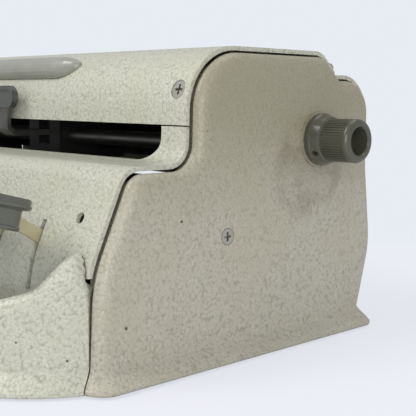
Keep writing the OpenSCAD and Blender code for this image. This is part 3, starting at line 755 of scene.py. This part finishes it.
@dataclass
class KeyCap:
    """One moulded cap, tilted back: a waisted body with a lip below and a sunk, wider top plate.

    Lengths are in metres, except in the rings.

    Attributes:
        key: the key's name.
        deep: depth of the cap's footprint.
        tall: height of the cap.
        waist: how far the body stands in from the footprint.
        corner: radius of the body's upright corners.
        lip: height of the lip below the body.
        plate: height of the plate above the body.
        rim: width of the flat rim round the sunk top.
        slope: width of the rim's inner slope, and of the bottom's edge.
        sink: how far the top is sunk.
        dish: width and depth of the top's hollow.
        edge: width of the rounding on sharp edges.
        sharp: angle from which an edge is rounded, in radians.
        smooth: sharpest angle that is shaded smooth, in degrees.
        tilt: how far the cap is tilted back, in degrees.
        centre_y: place of its middle, front to back.
        foot_z: height of its foot.
        top_rings: rings over the body: height in millimetres above it, and growth in
            millimetres over the footprint.
        low_rings: rings under the body, downwards in the same way.
    """

    key: str
    deep: float = 28.0 * MM
    tall: float = 13.7 * MM
    waist: float = 2.5 * MM
    corner: float = 5.0 * MM
    lip: float = 2.0 * MM
    plate: float = 4.6 * MM
    rim: float = 1.3 * MM
    slope: float = 1.2 * MM
    sink: float = 0.45 * MM
    dish: tuple[float, float] = (3.0 * MM, 0.25 * MM)
    edge: float = 0.25 * MM
    sharp: float = 0.6
    smooth: float = 40.0
    tilt: float = 15.0
    centre_y: float = -94.2 * MM
    foot_z: float = 66.35 * MM
    top_rings: tuple[tuple[float, float], ...] = (
        (0.5, -6.4), (1.2, -5.8), (1.9, -1.4), (2.2, 0.0), (3.7, 0.0), (4.3, -0.4), (4.6, -1.2))
    low_rings: tuple[tuple[float, float], ...] = ((0.35, -4.3), (1.3, -4.3), (2.0, -5.2))

    def build(self, material: bpy.types.Material) -> None:
        """Models the cap level in the place of its plain solid, then tilts it.

        Args:
            material: its finish.
        """
        low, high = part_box(f"keycap_{self.key}")
        wide = high[0] - low[0]
        middle = ((low[0] + high[0]) / 2, self.centre_y, self.foot_z)
        foot, neck = self.foot_z + self.lip, self.foot_z + self.tall - self.plate
        body = (wide - 2 * self.waist, self.deep - 2 * self.waist, neck - foot)
        spot = (middle[0], middle[1], (foot + neck) / 2)
        piece = Modeller.start(
            lambda: bpy.ops.mesh.primitive_cube_add(size=1, location=spot, scale=body),
            f"cap_{self.key}")
        Modeller.pick(piece, Pick.EDGE, self._upright)
        bpy.ops.mesh.bevel(offset=self.corner, segments=7, affect="EDGES")
        full = (wide, self.deep)
        self._grow(piece, 1, body, self.top_rings, full, middle)
        dish_width, dish_depth = self.dish
        bpy.ops.mesh.inset(thickness=self.rim, depth=0.0)
        bpy.ops.mesh.inset(thickness=self.slope, depth=-self.sink)
        bpy.ops.mesh.inset(thickness=dish_width, depth=-dish_depth)
        self._grow(piece, -1, body, self.low_rings, full, middle)
        bpy.ops.mesh.inset(thickness=self.slope, depth=0.0)
        bpy.ops.mesh.select_all(action="SELECT")
        bpy.ops.transform.rotate(value=math.radians(self.tilt), orient_axis="X",
                                 center_override=middle)
        Modeller.finish(piece, material, self.smooth)
        Modeller.modify(piece, "BEVEL", width=self.edge, segments=2, limit_method="ANGLE",
                        angle_limit=self.sharp)
        bpy.ops.object.shade_smooth_by_angle(angle=math.radians(self.smooth))
        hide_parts(f"keycap_{self.key}")
        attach(piece, f"key_{self.key}")
        LOG.info("modelled %s", piece.name)

    @staticmethod
    def _upright(edge: bmesh.types.BMEdge) -> bool:
        """Whether an edge of the level body stands upright."""
        return abs((edge.verts[0].co - edge.verts[1].co).z) > 1 * MM

    @staticmethod
    def _grow(piece: bpy.types.Object, side: int, body: Point,
              rings: tuple[tuple[float, float], ...], full: tuple[float, float],
              middle: Point) -> None:
        """Extrudes the end face of the body through rings of other sizes.

        Args:
            piece: the cap.
            side: 1 for the top, -1 for the bottom.
            body: width, depth and height of the body.
            rings: height in mm beyond the body's end and growth in mm over the footprint.
            full: width and depth of the footprint.
            middle: centre of the cap.
        """
        Modeller.pick(piece, Pick.FACE, lambda face: face.normal.z * side > 0.9)
        now, level = (body[0], body[1]), 0.0
        for height, growth in rings:
            rise = (height - level) * MM * side
            bpy.ops.mesh.extrude_region_move(TRANSFORM_OT_translate={"value": (0, 0, rise)})
            goal = (full[0] + growth * MM, full[1] + growth * MM)
            scale = (goal[0] / now[0], goal[1] / now[1], 1.0)
            bpy.ops.transform.resize(value=scale, center_override=(middle[0], middle[1], 0.0))
            now, level = goal, height


@dataclass
class Keys:
    """Nine key caps on plated levers."""

    plate: Metal = Metal("yellow_zinc", (0.60, 0.55, 0.38), (0.46, 0.38, 0.22), 0.40, 0.55,
                         (1.0, 0.05, 1.0))
    cap: Moulded = Moulded("grey_cap_plastic", (0.098, 0.102, 0.082), 0.20, coat=0.5, dust=0.5,
                           pits=(((140.9, -84.4, 69.5), 0.6),))
    short_keys: tuple[str, ...] = ("backspace", "line")
    short: float = 27.0 * MM

    def dress(self) -> None:
        """Finishes the levers and models the caps."""
        levers = [name for name in NODES if name.startswith("lever_") and name != "lever_pad"]
        levers.sort()
        dress(levers, self.plate.make())
        material = self.cap.make()
        for lever in levers:
            key = lever.removeprefix("lever_")
            cap = KeyCap(key, deep=self.short) if key in self.short_keys else KeyCap(key)
            cap.build(material)


@dataclass
class Controls:
    """Knobs, release levers, carriage lever pad, margin stops and carrying handle."""

    knob: Moulded = Moulded("dark_knob_plastic", (0.074, 0.075, 0.053), 0.28, coat=0.3, dust=0.4)
    pad: Moulded = Moulded("lever_pad_plastic", (0.075, 0.079, 0.072), 0.28, coat=0.3, dust=0.4)
    handle: Moulded = Moulded("handle_plastic", (0.30, 0.305, 0.265), 0.28, coat=0.35, dust=0.6)

    def dress(self) -> None:
        """Finishes the controls."""
        knobs = ("knob_right", "knob_left", "margin_stop_right", "margin_stop_left")
        dress(knobs, self.knob.make())
        dress(("lever_pad",), self.pad.make())
        dress(("carry_handle", "release_levers"), self.handle.make())


@dataclass(frozen=True)
class Lamp:
    """A square lamp.

    Attributes:
        name: its name.
        place: where it hangs.
        size: its side.
        power: its power in watts.
        tint: its colour.
    """

    name: str
    place: Point
    size: float
    power: float
    tint: Colour

    def hang(self, target: Point) -> None:
        """Adds the lamp, aimed at a point.

        Args:
            target: the point.
        """
        data = bpy.data.lights.new(self.name, "AREA")
        data.shape = "SQUARE"
        data.size = self.size
        data.energy = self.power
        data.color = self.tint
        lamp = bpy.data.objects.new(self.name, data)
        aim = Vector(target) - Vector(self.place)
        lamp.rotation_euler = aim.to_track_quat("-Z", "Y").to_euler()
        lamp.location = self.place
        bpy.context.scene.collection.objects.link(lamp)


@dataclass
class Studio:
    """Table, pale room, soft lights and the camera at the photograph's viewpoint.

    Lengths are in metres, except the lens and its sensor.

    Attributes:
        eye: the camera's place.
        right: the picture's direction to the right.
        up: the picture's direction upwards.
        back: the direction from the picture to the camera.
        lens: focal length, in millimetres.
        sensor: width of the sensor, in millimetres.
        nearest: nearest distance that the camera sees.
        table_size: side of the table before it is cut.
        table_depth: how far from the camera the table ends.
        surface: finish of the table.
        room: colour of the room's light.
        room_strength: strength of that light.
        wall: colour that the camera sees beyond the table.
        target: point that the lamps are aimed at.
        lamps: a key light front left, a low fill at the right and a weak light above.
    """

    eye: Point = (0.4478, -0.2748, 0.1185)
    right: Point = (0.6923, 0.7215, 0.0084)
    up: Point = (-0.0952, 0.0798, 0.9922)
    back: Point = (0.7153, -0.6877, 0.1239)
    lens: float = 76.71
    sensor: float = 36.0
    nearest: float = 0.01
    table_size: float = 8.0
    table_depth: float = 0.728
    surface: StageFinish = StageFinish("white_table", (0.80, 0.81, 0.84), 0.03)
    room: Colour = (0.95, 0.97, 1.0)
    room_strength: float = 0.5
    wall: Colour = (0.80, 0.84, 0.89)
    target: Point = (0.05, 0.0, 0.06)
    lamps: tuple[Lamp, ...] = (
        Lamp("key_light", (-0.5, -1.1, 1.5), 1.0, 19.0, (1.0, 0.985, 0.95)),
        Lamp("fill_light", (1.4, -0.9, 0.40), 0.9, 11.0, (1.0, 0.985, 0.96)),
        Lamp("top_light", (0.2, 0.5, 1.6), 0.9, 4.0, (1.0, 1.0, 1.0)))

    def build(self) -> None:
        """Sets the scene."""
        self._camera()
        self._table()
        self._room()
        for lamp in self.lamps:
            lamp.hang(self.target)
        bpy.context.scene.view_settings.view_transform = "Standard"

    def _camera(self) -> None:
        """Places the camera."""
        data = bpy.data.cameras.new("camera")
        data.lens = self.lens
        data.sensor_width = self.sensor
        data.clip_start = self.nearest
        camera = bpy.data.objects.new("camera", data)
        bpy.context.scene.collection.objects.link(camera)
        turn = Matrix((self.right, self.up, self.back)).transposed()
        camera.matrix_world = Matrix.Translation(self.eye) @ turn.to_4x4()
        bpy.context.scene.camera = camera

    def _table(self) -> None:
        """Lays the table and cuts it where it ends behind the machine."""
        away = Vector((-self.back[0], -self.back[1], 0.0)).normalized()
        edge = Vector((self.eye[0], self.eye[1], 0.0)) + away * self.table_depth
        table = Modeller.start(
            lambda: bpy.ops.mesh.primitive_plane_add(size=self.table_size, location=(0, 0, 0)),
            "table")
        bpy.ops.mesh.select_all(action="SELECT")
        bpy.ops.mesh.bisect(plane_co=edge, plane_no=away, clear_outer=True)
        bpy.ops.object.mode_set(mode="OBJECT")
        table.data.materials.append(self.surface.make())

    def _room(self) -> None:
        """Lights the room softly and gives the camera its plain wall."""
        world = bpy.data.worlds.new("room")
        bpy.context.scene.world = world
        world.use_nodes = True
        tree = world.node_tree
        tree.nodes.clear()
        path = tree.nodes.new("ShaderNodeLightPath")
        mix = tree.nodes.new("ShaderNodeMixShader")
        out = tree.nodes.new("ShaderNodeOutputWorld")
        tree.links.new(path.outputs["Is Camera Ray"], mix.inputs[0])
        shown = ((self.room, self.room_strength), (self.wall, 1.0))
        for slot, (colour, strength) in enumerate(shown, start=1):
            background = tree.nodes.new("ShaderNodeBackground")
            background.inputs[0].default_value = (*colour, 1.0)
            background.inputs[1].default_value = strength
            tree.links.new(background.outputs[0], mix.inputs[slot])
        tree.links.new(mix.outputs[0], out.inputs[0])


def main() -> None:
    """Builds the studio and dresses each sub-assembly."""
    logging.basicConfig(level=logging.INFO, format="%(message)s")
    Studio().build()
    for part in (Casing(), Works(), Keys(), Controls()):
        part.dress()
        LOG.info("finished %s", type(part).__name__)


if __name__ == "__main__":
    main()
